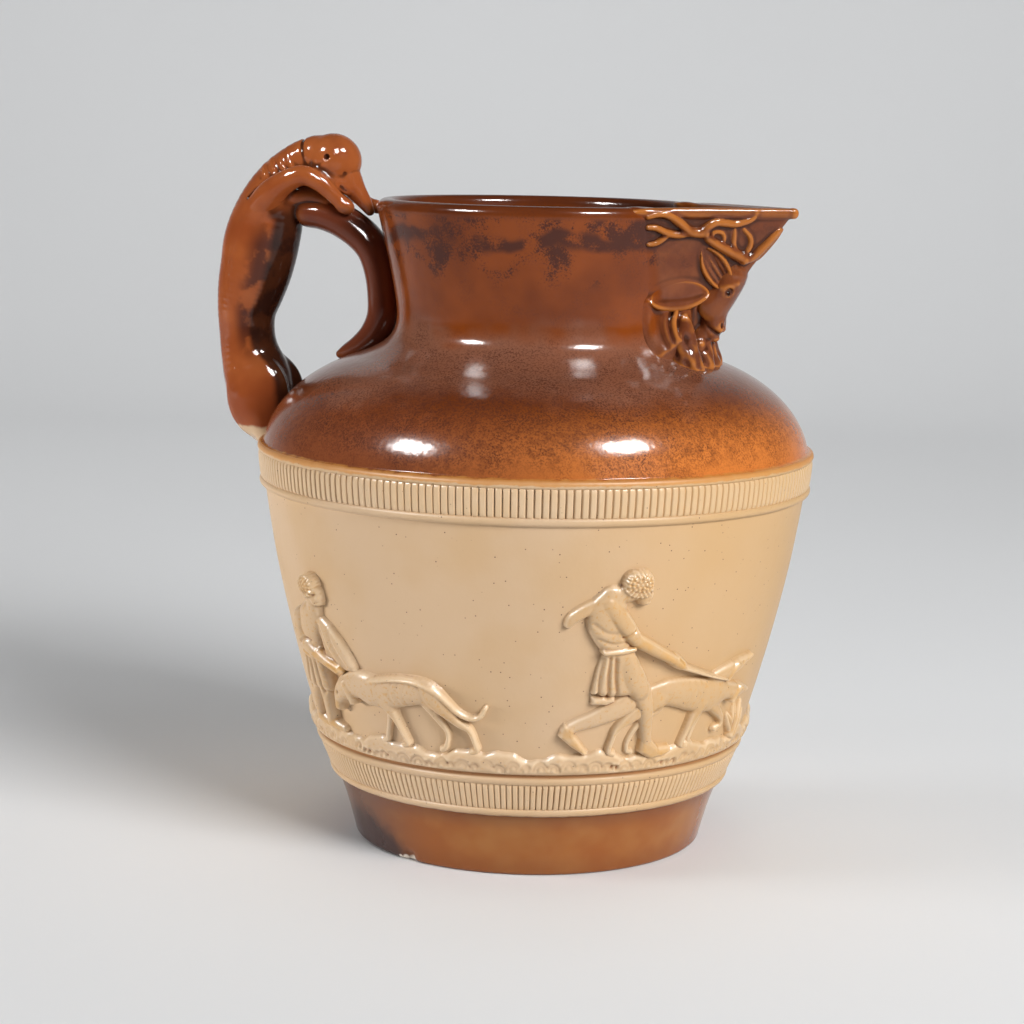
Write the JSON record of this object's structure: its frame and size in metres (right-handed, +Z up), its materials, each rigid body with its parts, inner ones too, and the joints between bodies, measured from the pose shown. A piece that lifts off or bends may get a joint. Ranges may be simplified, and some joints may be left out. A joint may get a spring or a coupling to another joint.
{
  "type": "hunting jug",
  "caption": "Round-bellied stoneware jug with a pouring spout shaped as a stag's head, a greyhound handle and applied relief figures of huntsmen and hounds; holds and pours drink.",
  "frame": {"origin": "centre of the flat base, where the jug stands", "axes": "+Z up along the jug's axis, +X towards the tip of the spout, -X towards the handle"},
  "size_m": [0.1679, 0.1496, 0.1886],
  "materials": {
    "body_stoneware": "salt glaze, buff below the shoulder and brown above it",
    "sprig_stoneware": "salt glaze over ochre-buff clay",
    "brown_stoneware": "glossy brown salt glaze"
  },
  "bodies": {
    "root": {"thrown_body": "body_stoneware", "lower_reeded_band": "sprig_stoneware", "upper_reeded_band": "sprig_stoneware", "ground_strip_front": "sprig_stoneware", "ground_strip_back": "sprig_stoneware", "striding_huntsman_front": "sprig_stoneware", "striding_huntsman_back": "sprig_stoneware", "hound_pair_front": "sprig_stoneware", "hound_pair_back": "sprig_stoneware", "plant_tuft_front": "sprig_stoneware", "plant_tuft_back": "sprig_stoneware", "cloaked_huntsman_front": "sprig_stoneware", "cloaked_huntsman_back": "sprig_stoneware", "turning_hound_front": "sprig_stoneware", "turning_hound_back": "sprig_stoneware", "spout": "brown_stoneware", "stag_head": "brown_stoneware", "stag_antler_right": "brown_stoneware", "stag_antler_left": "brown_stoneware", "stag_leaf_ear_right": "brown_stoneware", "stag_leaf_ear_left": "brown_stoneware", "stag_low_ear_right": "brown_stoneware", "stag_low_ear_left": "brown_stoneware", "greyhound_handle": "brown_stoneware", "greyhound_collar": "brown_stoneware", "greyhound_right_foreleg": "brown_stoneware", "greyhound_left_foreleg": "brown_stoneware", "branch_bracket": "brown_stoneware"}
  },
  "joints": []
}
